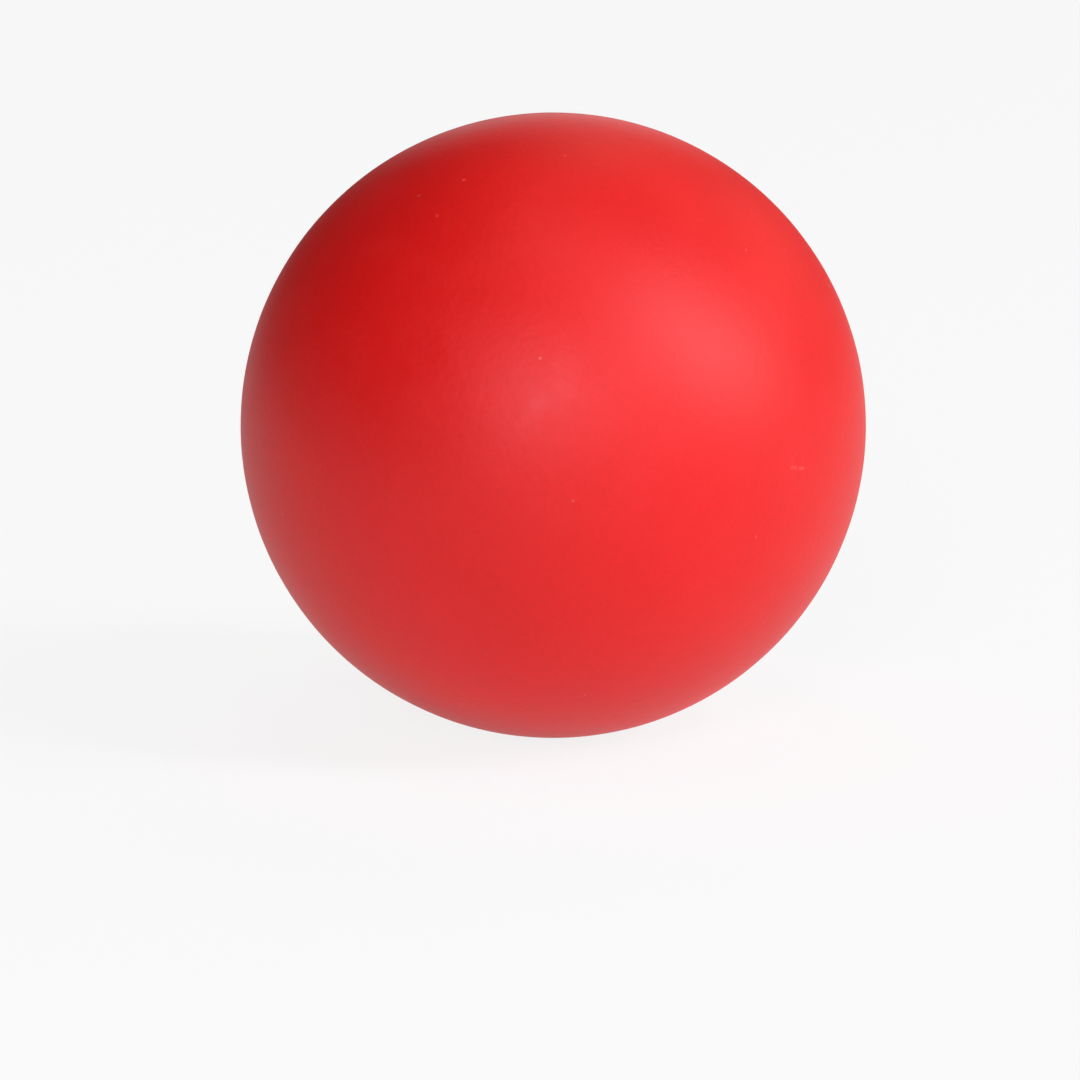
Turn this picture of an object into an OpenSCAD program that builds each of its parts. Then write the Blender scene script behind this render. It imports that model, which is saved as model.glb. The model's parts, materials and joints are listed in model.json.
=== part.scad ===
// Lacrosse ball: one solid moulding of red rubber, the same all the way through.
// The two halves of the mould meet in a plane through the middle of the ball. The thin
// flash pressed out there is buffed off, which leaves a narrow flat land all round and,
// along its middle, the fine bead of the parting line itself.
// The origin is the middle of the ball and +Z is up as it lies.

/* [Ball] */
// Diameter over the moulded surface
ball_d = 63.7; // [62.7:0.1:64.5]

/* [Parting line] */
// Width of the land where the mould flash is buffed off
land_w = 2.6; // [1:0.1:5]
// Width of the fine bead left along the parting line
bead_w = 0.5; // [0.3:0.05:0.9]
// Height of that bead above the land
bead_h = 0.06; // [0.03:0.01:0.12]
// How far the axis of the parting plane leans up from level, towards -Y
parting_lean = 10; // [0:1:90]

/* [Hidden] */
$fn = 180;

ball_r = ball_d / 2;
// The land is a cylinder that meets the round surface at its two edges.
land_r = sqrt(ball_r * ball_r - land_w * land_w / 4);
// The bead is the crest of a ring whose round section is wide and low.
bead_round_r = (bead_w * bead_w / 4 + bead_h * bead_h) / (2 * bead_h);
bead_ring_r = land_r + bead_h - bead_round_r;
// How far a cutting shape runs past what it cuts
overrun = 1;

// The round moulding as it leaves the mould, with the parting plane in X-Y.
module moulded_round() {
    sphere(r = ball_r);
}

// What the buffing wheel leaves: everything inside the cylinder of the land.
module buffed_to_land() {
    intersection() {
        moulded_round();
        cylinder(h = ball_d + 2 * overrun, r = land_r, center = true);
    }
}

// The fine line where the mould's halves met, still standing on the land.
module parting_bead() {
    rotate_extrude()
        translate([bead_ring_r, 0])
            circle(r = bead_round_r);
}

// Turns the parting plane's axis from +Z to point towards -Y, leaning up by parting_lean.
module lean_parting_plane() {
    rotate([90 - parting_lean, 0, 0])
        children();
}

module ball() {
    color("#DB1F23")
        lean_parting_plane()
            union() {
                buffed_to_land();
                parting_bead();
            }
}

ball();
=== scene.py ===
"""A lacrosse ball of solid red rubber: its moulded skin, the buffed parting line and a plain studio."""

import json
import math

import bmesh
import bpy
from mathutils import Matrix, Vector, noise


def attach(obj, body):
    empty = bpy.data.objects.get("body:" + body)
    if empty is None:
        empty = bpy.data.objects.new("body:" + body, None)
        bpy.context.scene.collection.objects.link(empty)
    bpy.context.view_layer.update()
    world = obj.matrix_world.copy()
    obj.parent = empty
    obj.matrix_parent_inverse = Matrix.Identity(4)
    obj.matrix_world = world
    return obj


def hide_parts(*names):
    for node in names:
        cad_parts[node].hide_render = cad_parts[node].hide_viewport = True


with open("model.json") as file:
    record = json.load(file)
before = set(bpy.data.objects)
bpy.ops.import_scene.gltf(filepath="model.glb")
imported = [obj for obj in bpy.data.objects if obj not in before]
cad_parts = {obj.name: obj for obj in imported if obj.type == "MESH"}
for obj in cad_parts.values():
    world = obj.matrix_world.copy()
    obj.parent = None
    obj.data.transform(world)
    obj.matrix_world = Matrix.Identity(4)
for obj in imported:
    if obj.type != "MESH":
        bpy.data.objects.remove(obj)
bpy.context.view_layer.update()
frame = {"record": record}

bl_info = {
    "name": "Lacrosse Ball",
    "version": (1, 0, 0),
    "blender": (4, 5, 0),
    "location": "3D View > Sidebar > Ball",
    "description": "Models a lacrosse ball of solid red rubber and a plain studio round it",
    "category": "Add Mesh",
}

MM = 0.001
BALL_RADIUS = frame["record"]["mounts"][0]["dims"]["r_mm"] * MM
# The camera looks down on the ball at this angle, and the parting plane faces the camera.
VIEW_HEIGHT = math.radians(10)

# The photograph's frame, the ball's outline in it and the marks on the ball, in pixels.
# A smooth patch and the scuff also have their widths, and the scuff its height.
PHOTO_SIDE = 1080
OUTLINE_MIDDLE = (553.2, 425.5)
OUTLINE_RADIUS = 312.7
BRIGHT_SPECKS = ((464, 180), (540, 358))
FAINT_SPECKS = (
    (419, 196), (437, 216), (565, 156), (573, 501), (585, 695),
    (461, 704), (756, 537), (784, 250), (746, 250), (282, 514),
)
DARK_SPECKS = ((536, 339),)
SCUFF = (798, 462, 12, 14)
SMOOTH_PATCHES = ((533, 431, 84), (578, 374, 64), (424, 358, 54))

# Each lamp: degrees off the line to the camera, degrees round that line from the right,
# its width and its watts for a distance of one metre, and the share of blue in its light.
LAMPS = {
    "front": (14, 120, 0.3, 3.55, 1.12),
    "fill": (22, 20, 0.4, 1.4, 1.12),
    "key": (64, 26, 0.3, 3.5, 1.1),
    "key_high": (58, 50, 0.3, 2.4, 1.12),
    "side": (80, 15, 0.3, 1.6, 1),
    "top": (70, 90, 0.3, 1.0, 0.85),
    "rim": (120, 40, 0.7, 0.9, 0.85),
    "back": (120, 80, 0.3, 0.5, 0.85),
    "behind": (155, 90, 0.4, 0.7, 1),
}


class BallSizes(bpy.types.PropertyGroup):
    """Sizes of the moulded ball and of its parting line."""

    radius: bpy.props.FloatProperty(
        name="Radius",
        description="From the middle of the ball to its moulded surface",
        default=BALL_RADIUS,
        precision=5,
        unit="LENGTH",
    )
    land_width: bpy.props.FloatProperty(
        name="Land width",
        description="Width of the land that is buffed along the parting line",
        default=2.6 * MM,
        precision=5,
        unit="LENGTH",
    )
    land_wander: bpy.props.FloatProperty(
        name="Land wander",
        description="How far the buffed edges of the land wander",
        default=0.4 * MM,
        precision=5,
        unit="LENGTH",
    )
    wander_length: bpy.props.FloatProperty(
        name="Wander length",
        description="Length along the parting line over which the land's edges wander",
        default=12 * MM,
        precision=4,
        unit="LENGTH",
    )
    bead_width: bpy.props.FloatProperty(
        name="Bead width",
        description="Width of the bead along the middle of the land",
        default=0.5 * MM,
        precision=5,
        unit="LENGTH",
    )
    bead_height: bpy.props.FloatProperty(
        name="Bead height",
        description="Height of the bead above the land, where the buffing wheel has left it whole",
        default=0.06 * MM,
        precision=6,
        unit="LENGTH",
    )
    bead_gap: bpy.props.FloatProperty(
        name="Bead gap",
        description="Length along the parting line over which the bead comes and goes",
        default=5 * MM,
        precision=4,
        unit="LENGTH",
    )
    swell_length: bpy.props.FloatProperty(
        name="Swell length",
        description="Size of the slow waves in the moulded surface",
        default=4.5 * MM,
        precision=4,
        unit="LENGTH",
    )
    swell_depth: bpy.props.FloatProperty(
        name="Swell depth",
        description="How far those waves rise and fall",
        default=0.012 * MM,
        precision=6,
        unit="LENGTH",
    )
    parting_lean: bpy.props.FloatProperty(
        name="Parting lean",
        description="How far the axis of the parting plane leans up from level",
        default=VIEW_HEIGHT,
        subtype="ANGLE",
    )
    steps_round: bpy.props.IntProperty(
        name="Steps round",
        description="Steps of the mesh round the parting line",
        default=288,
    )
    steps_up: bpy.props.IntProperty(
        name="Steps up",
        description="Steps of the mesh from the land to either pole",
        default=72,
    )


class RubberLook(bpy.types.PropertyGroup):
    """Colours and finish of the rubber."""

    colour: bpy.props.FloatVectorProperty(
        name="Colour",
        description="The rubber's red",
        subtype="COLOR",
        default=(0.84, 0.002, 0.0015),
    )
    deep_colour: bpy.props.FloatVectorProperty(
        name="Deep colour",
        description="The red where the pigment lies a little denser",
        subtype="COLOR",
        default=(0.77, 0.001, 0.0008),
    )
    bloom_colour: bpy.props.FloatVectorProperty(
        name="Bloom colour",
        description="The dry haze that comes out on moulded rubber",
        subtype="COLOR",
        default=(0.9, 0.2, 0.19),
    )
    # This colour is also the painted glint on the scuff's lower end
    dust_and_glint_colour: bpy.props.FloatVectorProperty(
        name="Dust colour",
        description="The specks of dust and the scuff",
        subtype="COLOR",
        default=(1, 0.4, 0.4),
    )
    dark_colour: bpy.props.FloatVectorProperty(
        name="Dark colour",
        description="The dark specks",
        subtype="COLOR",
        default=(0.3, 0.01, 0.01),
    )
    buffed_colour: bpy.props.FloatVectorProperty(
        name="Buffed colour",
        description="The land, where the buffing wheel has cut through the skin",
        subtype="COLOR",
        default=(0.8, 0.025, 0.022),
    )
    bloom: bpy.props.FloatProperty(
        name="Bloom",
        description="How much haze lies in the haziest patches",
        default=0.01,
        subtype="FACTOR",
    )
    roughness: bpy.props.FloatProperty(
        name="Roughness",
        description="Roughness of the moulded skin",
        default=0.52,
        subtype="FACTOR",
    )
    buffed_roughness: bpy.props.FloatProperty(
        name="Buffed roughness",
        description="Roughness of the land",
        default=0.75,
        subtype="FACTOR",
    )
    shine: bpy.props.FloatProperty(
        name="Shine",
        description="Strength of the skin's mirror light, where 0.5 is that of common plastic",
        default=0.5,
        subtype="FACTOR",
    )
    grain_size: bpy.props.FloatProperty(
        name="Grain size",
        description="Size of the finest grain of the skin",
        default=0.2 * MM,
        precision=5,
        unit="LENGTH",
    )
    skin_size: bpy.props.FloatProperty(
        name="Skin size",
        description="Size of the skin's largest waves, which repeat ever finer down to the grain",
        default=0.8 * MM,
        precision=5,
        unit="LENGTH",
    )
    skin_depth: bpy.props.FloatProperty(
        name="Skin depth",
        description="Depth of those waves",
        default=0.03 * MM,
        precision=6,
        unit="LENGTH",
    )
    streak_depth: bpy.props.FloatProperty(
        name="Streak depth",
        description="Depth of the streaks that the buffing wheel leaves along the land",
        default=0.012 * MM,
        precision=6,
        unit="LENGTH",
    )
    speck_height: bpy.props.FloatProperty(
        name="Speck height",
        description="How far the specks stand above the skin",
        default=0.012 * MM,
        precision=6,
        unit="LENGTH",
    )
    scuff_depth: bpy.props.FloatProperty(
        name="Scuff depth",
        description="Depth of the ring that is scuffed into the skin",
        default=0.02 * MM,
        precision=6,
        unit="LENGTH",
    )
    speck_size: bpy.props.FloatProperty(
        name="Speck size",
        description="Width of the larger specks",
        default=0.36 * MM,
        precision=5,
        unit="LENGTH",
    )


class StudioSettings(bpy.types.PropertyGroup):
    """The camera, floor and lamps."""

    camera_distance: bpy.props.FloatProperty(
        name="Camera distance",
        description="From the middle of the ball to the lens",
        default=0.6,
        unit="LENGTH",
    )
    camera_height: bpy.props.FloatProperty(
        name="Camera height",
        description="Angle at which the camera looks down on the ball",
        default=VIEW_HEIGHT,
        subtype="ANGLE",
    )
    floor_across: bpy.props.FloatProperty(
        name="Floor across",
        description="Diameter of the floor",
        default=12.0,
        unit="LENGTH",
    )
    floor_colour: bpy.props.FloatVectorProperty(
        name="Floor colour",
        description="Colour of the floor under the lamps",
        subtype="COLOR",
        default=(0.9, 0.9, 0.9),
    )
    floor_glow: bpy.props.FloatProperty(
        name="Floor glow",
        description="Share of plain white in the floor as the camera and mirror light see it",
        default=0.85,
        subtype="FACTOR",
    )
    lamp_distance: bpy.props.FloatProperty(
        name="Lamp distance",
        description="From the middle of the ball to each lamp, which grows with it and keeps its light",
        default=2.5,
        unit="LENGTH",
    )
    lamp_level: bpy.props.FloatProperty(
        name="Lamp level",
        description="Share of their powers at which the lamps burn",
        default=0.9,
    )
    room_level: bpy.props.FloatProperty(
        name="Room level",
        description="Brightness of the light that comes from all round",
        default=0.07,
    )


class Wire:
    """One output of a node. Arithmetic on it adds Math nodes."""

    def __init__(self, graph, socket):
        self.graph = graph
        self.socket = socket

    def math(self, operation, *values):
        return self.graph.node("Math", {"operation": operation}, dict(enumerate(values)))

    def __add__(self, other):
        return self.math("ADD", self, other)

    def __radd__(self, other):
        return self.math("ADD", other, self)

    def __sub__(self, other):
        return self.math("SUBTRACT", self, other)

    def __rsub__(self, other):
        return self.math("SUBTRACT", other, self)

    def __mul__(self, other):
        return self.math("MULTIPLY", self, other)

    def __rmul__(self, other):
        return self.math("MULTIPLY", other, self)

    def __truediv__(self, other):
        return self.math("DIVIDE", self, other)

    def __rtruediv__(self, other):
        return self.math("DIVIDE", other, self)

    def __abs__(self):
        return self.math("ABSOLUTE", self)

    def root(self):
        return self.math("SQRT", self)

    def larger(self, other):
        return self.math("MAXIMUM", self, other)

    def ramp(self, start, end):
        """0 at the start value, 1 at the end value and a soft rise between them."""
        settings = {"interpolation_type": "SMOOTHSTEP"}
        inputs = {"Value": self, "From Min": start, "From Max": end}
        return self.graph.node("MapRange", settings, inputs)


class Graph:
    """The nodes of one material, or of the world."""

    # Sockets of a Mix node that mixes colours
    MIX_SHARE, MIX_FIRST, MIX_SECOND, MIX_RESULT = 0, 6, 7, 2
    # How many times a pattern repeats at half the size, where its blots are round or ragged
    ROUND, RAGGED = 2.0, 3.0
    # Distance from a spot's middle, as a share of its width, where it ends and where it is full
    SPOT_END_SHARE, SPOT_FULL_SHARE = 0.6, 0.3

    def __init__(self, owner):
        owner.use_nodes = True
        self.tree = owner.node_tree
        self.tree.nodes.clear()

    def node(self, kind, settings=None, inputs=None, output=0):
        """Adds a node, sets it up, feeds its sockets with values or wires and gives one output."""
        made = self.tree.nodes.new("ShaderNode" + kind)
        for name, value in (settings or {}).items():
            setattr(made, name, value)
        for name, value in (inputs or {}).items():
            if isinstance(value, Wire):
                self.tree.links.new(value.socket, made.inputs[name])
            else:
                made.inputs[name].default_value = value
        return Wire(self, made.outputs[output]) if made.outputs else None

    def clouds(self, place, size, detail=ROUND):
        """A cloudy pattern from 0 to 1, with blots of about this size."""
        inputs = {"Vector": place, "Scale": 1 / size, "Detail": detail}
        return self.node("TexNoise", {}, inputs, "Fac")

    def blend(self, share, first, second):
        """The first colour at a share of 0 and the second at 1."""
        inputs = {self.MIX_SHARE: share}
        for slot, colour in ((self.MIX_FIRST, first), (self.MIX_SECOND, second)):
            inputs[slot] = colour if isinstance(colour, Wire) else (*colour, 1)
        return self.node("Mix", {"data_type": "RGBA"}, inputs, self.MIX_RESULT)

    def vector(self, operation, *values, output="Vector"):
        return self.node("VectorMath", {"operation": operation}, dict(enumerate(values)), output)

    def spot(self, place, point, width):
        """A round spot of that width about one point of the surface."""
        distance = self.vector("DISTANCE", place, point, output="Value")
        return distance.ramp(self.SPOT_END_SHARE * width, self.SPOT_FULL_SHARE * width)


class ViewAxes:
    """The directions right, up and towards the camera, as the photograph shows the ball."""

    def __init__(self, height):
        self.towards = Vector((0, -math.cos(height), math.sin(height)))
        self.right = Vector((1, 0, 0))
        self.up = self.towards.cross(self.right)

    def direction(self, right, up, towards):
        return (self.right * right + self.up * up + self.towards * towards).normalized()

    def under_pixel(self, pixel, radius, distance):
        """The point of a ball of that radius, seen from that distance, under this pixel."""
        right = (pixel[0] - OUTLINE_MIDDLE[0]) / OUTLINE_RADIUS
        up = (OUTLINE_MIDDLE[1] - pixel[1]) / OUTLINE_RADIUS
        aside = math.hypot(right, up)
        sight = math.atan(aside * math.tan(math.asin(radius / distance)))
        off = math.asin(math.sin(sight) * distance / radius) - sight
        share = math.sin(off) / aside
        return self.direction(right * share, up * share, math.cos(off)) * radius


class BallShape:
    """The ball's mesh, shaped with its parting plane in X-Y and turned into place at the end."""

    # Steps of the mesh over half the bead, and over the land on one side of it
    BEAD_STEPS = 4
    LAND_STEPS = 4
    # The wander of the land's edges fades out over this many widths of the land
    FADE_LANDS = 3
    # Share of the bead's height that buffing leaves as a rule, and at the least
    USUAL_BEAD_SHARE = 0.7
    LEAST_BEAD_SHARE = 0.15
    # Points no further apart than this are one point
    TOUCHING = 1e-7

    def __init__(self, sizes):
        self.sizes = sizes
        self.land_half = sizes.land_width / 2
        self.bead_half = sizes.bead_width / 2
        self.land_radius = self.level_at(self.land_half)

    def level_at(self, aside):
        """Radius of the moulded surface about the axis, this far aside of the parting plane."""
        return math.sqrt(self.sizes.radius**2 - aside**2)

    def arc(self, bm, start, middle, angle, steps):
        """Spins a point about a centre on X, away from the parting plane, and gives the last point."""
        made = bmesh.ops.spin(bm, geom=[start], cent=middle, axis=(0, -1, 0), angle=angle, steps=steps)
        return next(v for v in made["geom_last"] if isinstance(v, bmesh.types.BMVert))

    def draw_outline(self, bm):
        """Half of the outline: over the bead, across the land and up to the pole."""
        height = self.sizes.bead_height
        bead_round = (self.bead_half**2 + height**2) / (2 * height)
        crest = self.land_radius + height
        last = bm.verts.new((crest, 0, 0))
        half_angle = math.asin(self.bead_half / bead_round)
        last = self.arc(bm, last, (crest - bead_round, 0, 0), half_angle, self.BEAD_STEPS)
        across = Vector((0, 0, (self.land_half - self.bead_half) / self.LAND_STEPS))
        for _ in range(self.LAND_STEPS):
            last = bmesh.ops.extrude_vert_indiv(bm, verts=[last])["verts"][0]
            last.co += across
        rest = math.acos(self.land_half / self.sizes.radius)
        self.arc(bm, last, (0, 0, 0), rest, self.sizes.steps_up)

    def spin_outline(self, bm):
        """The whole ball, closed at its poles and along its seam."""
        bmesh.ops.mirror(bm, geom=bm.verts[:] + bm.edges[:], merge_dist=self.TOUCHING, axis="Z")
        bmesh.ops.spin(
            bm,
            geom=bm.verts[:] + bm.edges[:],
            axis=(0, 0, 1),
            angle=2 * math.pi,
            steps=self.sizes.steps_round,
            use_merge=True,
        )
        bmesh.ops.remove_doubles(bm, verts=bm.verts, dist=self.TOUCHING)
        bmesh.ops.recalc_face_normals(bm, faces=bm.faces)

    def along(self, around, side, length):
        """A place in the noise that moves by one for each such length along the parting line."""
        rate = self.sizes.radius / length
        return Vector((math.cos(around) * rate, math.sin(around) * rate, side * rate))

    def buffed_half(self, around, side):
        """Half the land's width at this angle round it, on this side of the bead."""
        place = self.along(around, side, self.sizes.wander_length)
        return self.land_half + self.sizes.land_wander * noise.noise(place)

    def bead_left(self, around):
        """Share of the bead's height that the buffing wheel has left at this angle."""
        left = self.USUAL_BEAD_SHARE + noise.noise(self.along(around, 0, self.sizes.bead_gap))
        return min(max(left, self.LEAST_BEAD_SHARE), 1)

    def buff(self, vert):
        """Moves a point to where buffing leaves it, and gives how far it then is past the land."""
        x, y, z = vert.co
        around, side, level = math.atan2(y, x), math.copysign(1, z), math.hypot(x, y)
        half = self.buffed_half(around, side)
        aside = abs(z)
        if aside < self.bead_half - self.TOUCHING:
            level = self.land_radius + (level - self.land_radius) * self.bead_left(around)
        elif aside < self.land_half + self.TOUCHING:
            share = (aside - self.bead_half) / (self.land_half - self.bead_half)
            aside = self.bead_half + share * (half - self.bead_half)
            level = self.land_radius + share * (self.level_at(half) - self.land_radius)
        else:
            near = 1 - (aside - self.land_half) / (self.FADE_LANDS * self.sizes.land_width)
            aside += (half - self.land_half) * max(near, 0)
            level = self.level_at(min(aside, self.sizes.radius))
        vert.co = (level * math.cos(around), level * math.sin(around), side * aside)
        return aside - half

    def build(self):
        bm = bmesh.new()
        self.draw_outline(bm)
        self.spin_outline(bm)
        past_land = bm.verts.layers.float.new("past_land")
        for vert in bm.verts:
            vert[past_land] = self.buff(vert)
        turn = Matrix.Rotation(math.pi / 2 - self.sizes.parting_lean, 4, "X")
        bmesh.ops.transform(bm, matrix=turn, verts=bm.verts)
        for vert in bm.verts:
            swell = noise.noise(vert.co / self.sizes.swell_length)
            vert.co += vert.co.normalized() * self.sizes.swell_depth * swell
        for face in bm.faces:
            face.smooth = True
        return bm


def finished_piece(name, bm, material):
    """Makes an object of a mesh that already lies in its place."""
    mesh = bpy.data.meshes.new(name)
    bm.to_mesh(mesh)
    bm.free()
    mesh.materials.append(material)
    piece = bpy.data.objects.new(name, mesh)
    bpy.context.scene.collection.objects.link(piece)
    return piece


class RubberSkin:
    """The ball's material, mark by mark."""

    # Sizes of the blots in the patterns
    PIGMENT_BLOTS = 12 * MM
    HAZE_BLOTS = 6 * MM
    SMOOTH_BLOTS = 2.5 * MM
    WEAR_BLOTS = 0.5 * MM
    EDGE_BLOTS = 1 * MM
    SPECK_WIDTH_BLOTS = 15 * MM
    # Width of the band in which the land's colour ends, and half the width of its soft edge
    EDGE_STRAY = 0.6 * MM
    EDGE_SOFTNESS = 0.1 * MM
    # Length of the buffing streaks, and how many times longer than wide they are
    STREAK_LENGTH = 4 * MM
    STREAK_SLIMNESS = 30

    # Where a pattern from 0 to 1 has its patches begin and where they are full
    EVEN_SHARES = (0.3, 0.7)
    SPARSE_SHARES = (0.4, 0.7)
    SMOOTH_SHARES = (0.35, 0.6)
    WORN_SHARES = (0.3, 0.6)

    # The scattered specks: their distance from one another, their greatest reach as a share of
    # the larger specks' width, and the share of that reach within which they are full
    SPECKS_APART = 5 * MM
    SCATTERED_WIDTH_SHARE = 0.7
    SCATTERED_FULL_SHARE = 0.4

    # The scuff, in halves of its ring's width or height. Each pair says where a mark ends and
    # where it is full, and the level is the height at which the pale dust lies. That pale colour
    # also paints the glint where the ring's lower rim catches the light.
    SCUFF_REACH_SHARES = (2, 1.8)
    RING_LINE_SHARES = (0.35, 0.1)
    DUST_AND_GLINT_LEVEL_SHARE = -0.8
    DUST_AND_GLINT_BAND_SHARES = (0.4, 0.1)
    DUST_AND_GLINT_INNER_SHARES = (0.1, 0.4)
    DUST_AND_GLINT_OUTER_SHARES = (1.5, 0.9)

    # Share of the dust's colour in each mark, and of the dark colour in the dark speck
    BRIGHT_DUST_SHARE = 0.18
    FAINT_DUST_SHARE = 0.11
    SCATTERED_DUST_SHARE = 0.07
    # On the scuff's lower end this share is pale dust and a painted glint of its lower rim
    SCUFF_DUST_AND_GLINT_SHARE = 0.15
    RING_DUST_SHARE = 0.015
    DARK_SHARE = 0.15
    # Share of the buffed colour between the land's streaks
    LEAST_BUFFED_SHARE = 0.3

    # What the haze and the smooth patches add to the roughness, and how widely the grain
    # spreads it
    HAZE_ROUGHNESS = 0.02
    SMOOTH_ROUGHNESS = -0.055
    GRAIN_ROUGHNESS = 0.1

    def __init__(self, look, sizes, studio):
        self.look = look
        self.sizes = sizes
        self.distance = studio.camera_distance
        self.pixel = sizes.radius / OUTLINE_RADIUS
        self.axes = ViewAxes(studio.camera_height)
        self.material = bpy.data.materials.new("red_rubber")
        self.graph = Graph(self.material)
        self.place = self.graph.node("TexCoord", output="Object")

    def on_ball(self, pixel):
        return self.axes.under_pixel(pixel, self.sizes.radius, self.distance)

    def spots(self, pixels, widths):
        """One round spot under each of these pixels of the photograph."""
        each = [
            self.graph.spot(self.place, self.on_ball(pixel), width)
            for pixel, width in zip(pixels, widths)
        ]
        mask = each[0]
        for spot in each[1:]:
            mask = mask.larger(spot)
        return mask

    def specks(self, pixels):
        return self.spots(pixels, [self.look.speck_size] * len(pixels))

    def scattered_specks(self):
        """Fine specks scattered over the whole ball, each of its own width."""
        inputs = {"Vector": self.place, "Scale": 1 / self.SPECKS_APART}
        from_middle = self.graph.node("TexVoronoi", {}, inputs, "Distance") * self.SPECKS_APART
        widest = self.look.speck_size * self.SCATTERED_WIDTH_SHARE
        reach = self.graph.clouds(self.place, self.SPECK_WIDTH_BLOTS) * widest
        return (from_middle / reach).ramp(1, self.SCATTERED_FULL_SHARE)

    def smooth_patches(self):
        """Where the skin is a little smoother and the highlights brighter, in ragged patches."""
        ragged = self.graph.clouds(self.place, self.SMOOTH_BLOTS, Graph.RAGGED)
        pixels = [(x, y) for x, y, _ in SMOOTH_PATCHES]
        widths = [width * self.pixel for _, _, width in SMOOTH_PATCHES]
        return self.spots(pixels, widths) * ragged.ramp(*self.SMOOTH_SHARES)

    def scuff(self):
        """A small ring scuffed into the skin, and pale dust on both sides of its lower end.
        That pale colour also paints the glint where the ring's lower rim catches the light.
        """
        x, y, width, height = SCUFF
        offset = self.graph.vector("SUBTRACT", self.place, self.on_ball((x, y)))
        half_width, half_height = width * self.pixel / 2, height * self.pixel / 2
        across = self.graph.vector("DOT_PRODUCT", offset, self.axes.right, output="Value") / half_width
        along = self.graph.vector("DOT_PRODUCT", offset, self.axes.up, output="Value") / half_height
        off = self.graph.vector("LENGTH", offset, output="Value") / half_height
        worn = self.graph.clouds(self.place, self.WEAR_BLOTS).ramp(*self.WORN_SHARES)
        worn = worn * off.ramp(*self.SCUFF_REACH_SHARES)
        ring = (across * across + along * along).root()
        line = abs(ring - 1).ramp(*self.RING_LINE_SHARES)
        aside = abs(across)
        dust_and_glint = abs(along - self.DUST_AND_GLINT_LEVEL_SHARE).ramp(*self.DUST_AND_GLINT_BAND_SHARES)
        dust_and_glint = dust_and_glint * aside.ramp(*self.DUST_AND_GLINT_INNER_SHARES) * aside.ramp(*self.DUST_AND_GLINT_OUTER_SHARES)
        return line * worn, dust_and_glint * worn

    def land(self):
        """1 on the buffed land, 0 past its edge, and ragged between the two."""
        past = self.graph.node("Attribute", {"attribute_name": "past_land"}, {}, "Fac")
        blots = self.graph.clouds(self.place, self.EDGE_BLOTS, Graph.RAGGED)
        strayed = past + (blots - 0.5) * self.EDGE_STRAY
        return strayed.ramp(self.EDGE_SOFTNESS, -self.EDGE_SOFTNESS)

    def streaks(self):
        """Fine scratches along the land."""
        turn = (math.pi / 2 - self.sizes.parting_lean, 0, 0)
        squeeze = (1, 1, 1 / self.STREAK_SLIMNESS)
        inputs = {"Vector": self.place, "Rotation": turn, "Scale": squeeze}
        turned = self.graph.node("Mapping", {"vector_type": "TEXTURE"}, inputs)
        streaks = self.graph.clouds(turned, self.STREAK_LENGTH, Graph.RAGGED)
        return streaks.ramp(*self.EVEN_SHARES)

    def dust_and_glint(self, bright, faint, scuff, scuff_dust_and_glint):
        """Share of the dust's colour at each point, from all the marks that show it, with the painted
        glint on the scuff's lower end.
        """
        specks = (bright * self.BRIGHT_DUST_SHARE).larger(faint * self.FAINT_DUST_SHARE)
        specks = specks.larger(self.scattered_specks() * self.SCATTERED_DUST_SHARE)
        rubbed = (scuff_dust_and_glint * self.SCUFF_DUST_AND_GLINT_SHARE).larger(scuff * self.RING_DUST_SHARE)
        return specks.larger(rubbed)

    def build(self):
        look, graph = self.look, self.graph
        mottle = graph.clouds(self.place, self.PIGMENT_BLOTS, Graph.RAGGED).ramp(*self.EVEN_SHARES)
        haze = graph.clouds(self.place, self.HAZE_BLOTS, Graph.RAGGED).ramp(*self.SPARSE_SHARES)
        grain = graph.clouds(self.place, look.grain_size)
        octaves = math.log2(look.skin_size / look.grain_size)
        skin = graph.clouds(self.place, look.skin_size, octaves)
        flecks = graph.clouds(self.place, look.skin_size / 2, octaves).ramp(*self.EVEN_SHARES)
        land, streaks = self.land(), self.streaks()
        # The scuff's pale lower end is dust and also a painted glint where its lower rim catches the
        # light
        scuff, scuff_dust_and_glint = self.scuff()
        bright, faint = self.specks(BRIGHT_SPECKS), self.specks(FAINT_SPECKS)
        dark = self.specks(DARK_SPECKS) * self.DARK_SHARE
        dust_and_glint = self.dust_and_glint(bright, faint, scuff, scuff_dust_and_glint)
        buffed = land * (self.LEAST_BUFFED_SHARE + streaks * (1 - self.LEAST_BUFFED_SHARE))

        colour = graph.blend((mottle + flecks) / 2, look.deep_colour, look.colour)
        colour = graph.blend(haze * look.bloom, colour, look.bloom_colour)
        colour = graph.blend(buffed, colour, look.buffed_colour)
        colour = graph.blend(dark, colour, look.dark_colour)
        # Pale dust on the specks and the scuff, with a painted glint on the scuff's lower end
        colour = graph.blend(dust_and_glint, colour, look.dust_and_glint_colour)

        roughness = look.roughness + land * (look.buffed_roughness - look.roughness)
        roughness = roughness + haze * self.HAZE_ROUGHNESS + (grain - 0.5) * self.GRAIN_ROUGHNESS
        roughness = roughness + self.smooth_patches() * self.SMOOTH_ROUGHNESS

        height = skin * look.skin_depth + streaks * land * look.streak_depth
        height = height + bright.larger(faint) * look.speck_height - scuff * look.scuff_depth
        bump = graph.node("Bump", {}, {"Height": height / MM, "Distance": MM})
        inputs = {
            "Base Color": colour,
            "Roughness": roughness,
            "Specular IOR Level": look.shine,
            "Normal": bump,
        }
        shader = graph.node("BsdfPrincipled", {}, inputs)
        graph.node("OutputMaterial", {}, {"Surface": shader})
        return self.material


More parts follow.
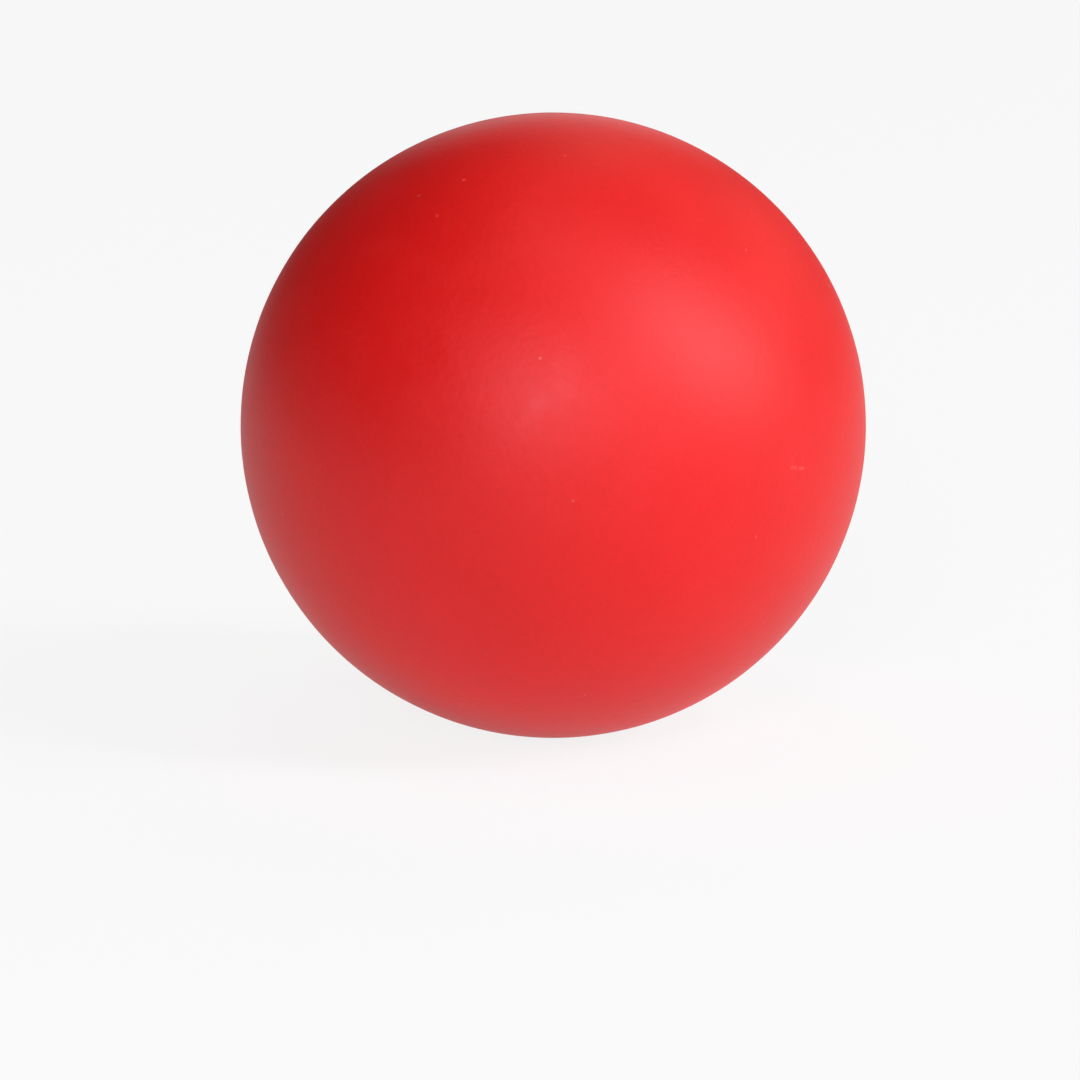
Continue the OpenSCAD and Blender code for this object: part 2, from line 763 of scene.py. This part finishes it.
class LACROSSE_OT_ball(bpy.types.Operator):
    """Models the ball with the land and bead of its parting line, in red rubber"""

    bl_idname = "lacrosse.ball"
    bl_label = "Ball"

    def execute(self, context):
        scene = context.scene
        skin = RubberSkin(scene.lacrosse_look, scene.lacrosse_sizes, scene.lacrosse_studio).build()
        ball = finished_piece("lacrosse_ball", BallShape(scene.lacrosse_sizes).build(), skin)
        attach(ball, "root")
        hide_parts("ball")
        return {"FINISHED"}


class Studio:
    """A pale floor, soft round lamps, the room's light and the camera."""

    # Steps round the floor's edge
    FLOOR_STEPS = 64
    # The camera sees nothing nearer than this share of its distance from the ball
    NEAREST_SHARE = 0.1

    def __init__(self, studio, radius):
        self.studio = studio
        self.radius = radius
        self.axes = ViewAxes(studio.camera_height)

    def floor_material(self):
        """Takes the ball's shadow. The camera and mirror light see it nearly white."""
        material = bpy.data.materials.new("floor")
        graph = Graph(material)
        seen = graph.node("LightPath", output="Is Camera Ray")
        for ray in ("Is Glossy Ray", "Is Transmission Ray"):
            seen = seen + graph.node("LightPath", output=ray)
        lit = graph.node("BsdfDiffuse", {}, {"Color": (*self.studio.floor_colour, 1)})
        white = graph.node("Emission")
        mixed = graph.node("MixShader", {}, {0: seen * self.studio.floor_glow, 1: lit, 2: white})
        graph.node("OutputMaterial", {}, {"Surface": mixed})
        return material

    def add_floor(self):
        bm = bmesh.new()
        reach = self.studio.floor_across / 2
        bmesh.ops.create_circle(bm, cap_ends=True, radius=reach, segments=self.FLOOR_STEPS)
        bmesh.ops.translate(bm, verts=bm.verts, vec=(0, 0, -self.radius))
        finished_piece("floor", bm, self.floor_material())

    def add_lamp(self, name, off, around, across, power, blue):
        """A round lamp turned to the ball."""
        distance = self.studio.lamp_distance
        off, around = math.radians(off), math.radians(around)
        data = bpy.data.lights.new(name, "AREA")
        data.shape = "DISK"
        data.size = across * distance
        data.energy = power * distance**2 * self.studio.lamp_level
        data.color = (1, 1, blue)
        lamp = bpy.data.objects.new(name, data)
        right, up = math.sin(off) * math.cos(around), math.sin(off) * math.sin(around)
        lamp.location = self.axes.direction(right, up, math.cos(off)) * distance
        lamp.rotation_euler = lamp.location.to_track_quat("Z", "Y").to_euler()
        lamp.visible_camera = False
        bpy.context.scene.collection.objects.link(lamp)

    def add_camera(self):
        """Puts the ball's outline where the photograph has it."""
        distance = self.studio.camera_distance
        data = bpy.data.cameras.new("camera")
        focus = OUTLINE_RADIUS * math.sqrt(distance**2 - self.radius**2) / self.radius
        data.lens = focus / PHOTO_SIDE * data.sensor_width
        data.clip_start = distance * self.NEAREST_SHARE
        camera = bpy.data.objects.new("camera", data)
        level = Matrix((self.axes.right, self.axes.up, self.axes.towards)).transposed()
        aside = OUTLINE_MIDDLE[0] - PHOTO_SIDE / 2
        above = PHOTO_SIDE / 2 - OUTLINE_MIDDLE[1]
        aim = Vector((aside, above, -focus)).rotation_difference(Vector((0, 0, -1)))
        camera.location = self.axes.towards * distance
        camera.rotation_euler = (level @ aim.to_matrix()).to_euler()
        bpy.context.scene.collection.objects.link(camera)
        bpy.context.scene.camera = camera

    def add_room(self):
        world = bpy.data.worlds.new("room")
        graph = Graph(world)
        light = graph.node("Background", {}, {"Strength": self.studio.room_level})
        graph.node("OutputWorld", {}, {"Surface": light})
        bpy.context.scene.world = world


class LACROSSE_OT_studio(bpy.types.Operator):
    """Adds the floor, the lamps, the room's light and the camera"""

    bl_idname = "lacrosse.studio"
    bl_label = "Studio"

    def execute(self, context):
        settings = context.scene.lacrosse_studio
        studio = Studio(settings, context.scene.lacrosse_sizes.radius)
        studio.add_floor()
        for name, lamp in LAMPS.items():
            studio.add_lamp(name, *lamp)
        studio.add_room()
        studio.add_camera()
        context.scene.view_settings.view_transform = "Standard"
        return {"FINISHED"}


class LACROSSE_PT_panel(bpy.types.Panel):
    """Lists what the add-on makes, with its sizes and colours"""

    bl_idname = "LACROSSE_PT_panel"
    bl_label = "Lacrosse ball"
    bl_space_type = "VIEW_3D"
    bl_region_type = "UI"
    bl_category = "Ball"

    def draw(self, context):
        for operator, groups in STEPS.items():
            self.layout.operator(operator)
            for group in groups:
                settings = getattr(context.scene, group)
                for name in settings.__annotations__:
                    self.layout.prop(settings, name)


STEPS = {
    "lacrosse.ball": ("lacrosse_sizes", "lacrosse_look"),
    "lacrosse.studio": ("lacrosse_studio",),
}
GROUPS = {
    "lacrosse_sizes": BallSizes,
    "lacrosse_look": RubberLook,
    "lacrosse_studio": StudioSettings,
}
CLASSES = (*GROUPS.values(), LACROSSE_OT_ball, LACROSSE_OT_studio, LACROSSE_PT_panel)


def register():
    for each in CLASSES:
        bpy.utils.register_class(each)
    for name, group in GROUPS.items():
        setattr(bpy.types.Scene, name, bpy.props.PointerProperty(type=group))


def unregister():
    for name in GROUPS:
        delattr(bpy.types.Scene, name)
    for each in reversed(CLASSES):
        bpy.utils.unregister_class(each)


def main():
    register()
    bpy.ops.lacrosse.ball()
    bpy.ops.lacrosse.studio()


if __name__ == "__main__":
    main()
